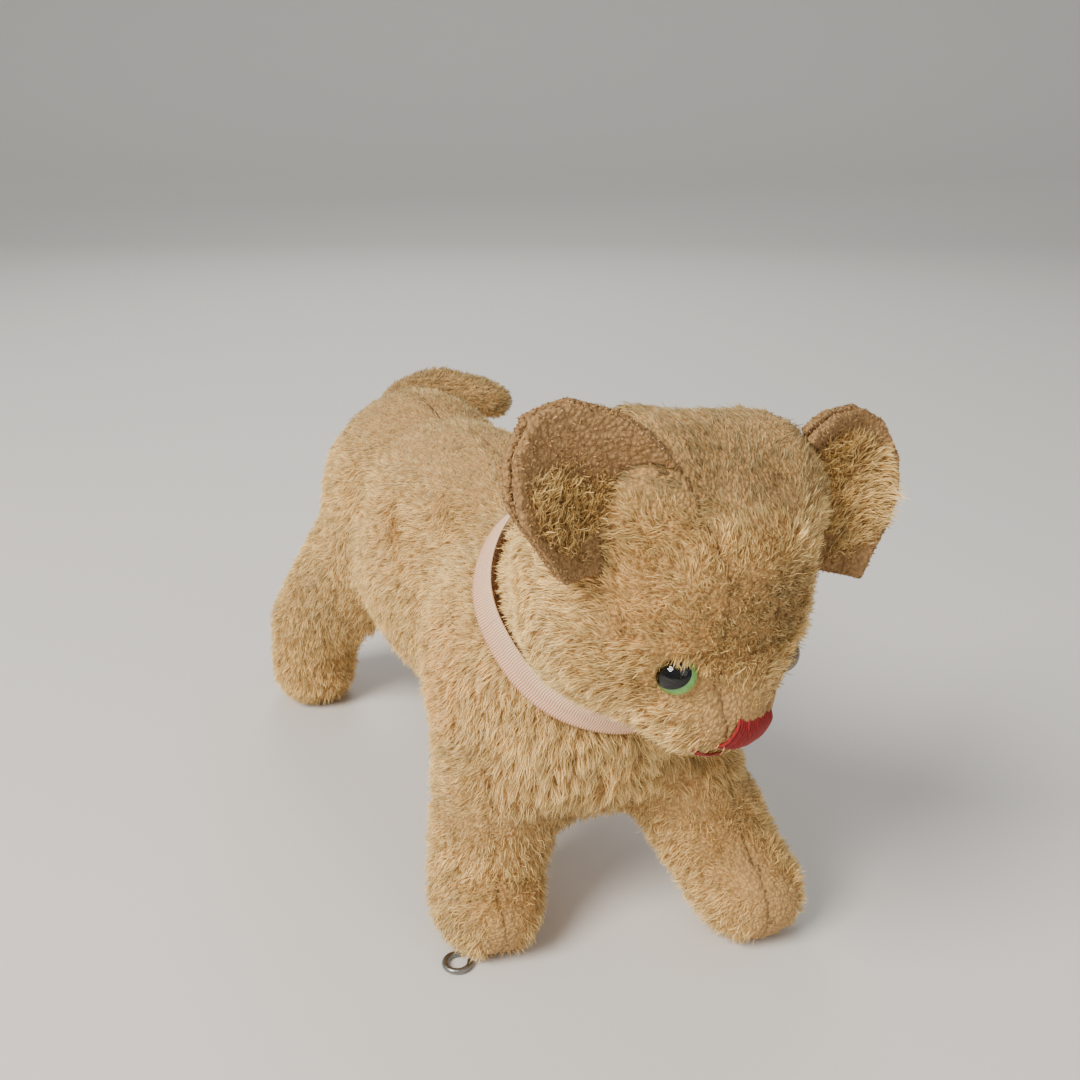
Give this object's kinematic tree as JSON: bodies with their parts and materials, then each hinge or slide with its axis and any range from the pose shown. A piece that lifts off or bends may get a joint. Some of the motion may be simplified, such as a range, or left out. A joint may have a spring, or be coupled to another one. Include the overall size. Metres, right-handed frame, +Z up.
{
  "type": "plush kitten",
  "caption": "Standing stuffed mohair kitten with a turning head, wire-framed legs, glass eyes, stitched nose and mouth, cupped ears, a short curled tail and a neck ribbon.",
  "frame": {"origin": "centre of the bounding box on the floor that the paws stand on", "axes": "the kitten looks along -Y, its own left is +X, and +Z is up"},
  "size_m": [0.0752, 0.17, 0.1136],
  "materials": {
    "mohair": "long golden pile, worn and dusty, darker on crown and rump",
    "ear_cloth": "bald brown backing cloth with a little pile left",
    "wood_wool": "fine shavings, packed hard",
    "hardboard": "pressed board, bare",
    "steel": "drawn wire and stamped sheet, dull",
    "eye_glass": "clear, glossy",
    "eye_green": "green back of the glass eye",
    "eye_black": "black pupil of the glass eye",
    "red_thread": "twisted thread in satin stitches",
    "ribbon": "woven with fine ribs, faded pink"
  },
  "bodies": {
    "body": {"belly_gusset": "mohair", "body_joint_disc": "hardboard", "body_joint_washer": "steel", "body_side_left": "mohair", "body_side_right": "mohair", "body_stuffing": "wood_wool", "front_leg_wire": "steel", "neck_ribbon": "ribbon", "rear_leg_wire": "steel", "spine_wire": "steel", "tail_cover": "mohair", "tail_stuffing": "wood_wool"},
    "head": {"ear_back_left": "ear_cloth", "ear_back_right": "ear_cloth", "ear_lining_left": "ear_cloth", "ear_lining_right": "ear_cloth", "eye_glass_left": "eye_glass", "eye_glass_right": "eye_glass", "eye_iris_left": "eye_green", "eye_iris_right": "eye_green", "eye_pupil_left": "eye_black", "eye_pupil_right": "eye_black", "eye_shank_left": "steel", "eye_shank_right": "steel", "head_centre_gusset": "mohair", "head_joint_disc": "hardboard", "head_joint_washer": "steel", "head_side_left": "mohair", "head_side_right": "mohair", "head_stuffing": "wood_wool", "mouth_stitching": "red_thread", "neck_cotter_pin": "steel", "nose_stitching": "red_thread"}
  },
  "joints": [
    {"name": "head_swivel", "type": "hinge", "parent": "body", "child": "head", "pos_m": [-0.00256, -0.04286, 0.07], "axis": [0, -0.7071, 0.7071], "continuous": true}
  ]
}
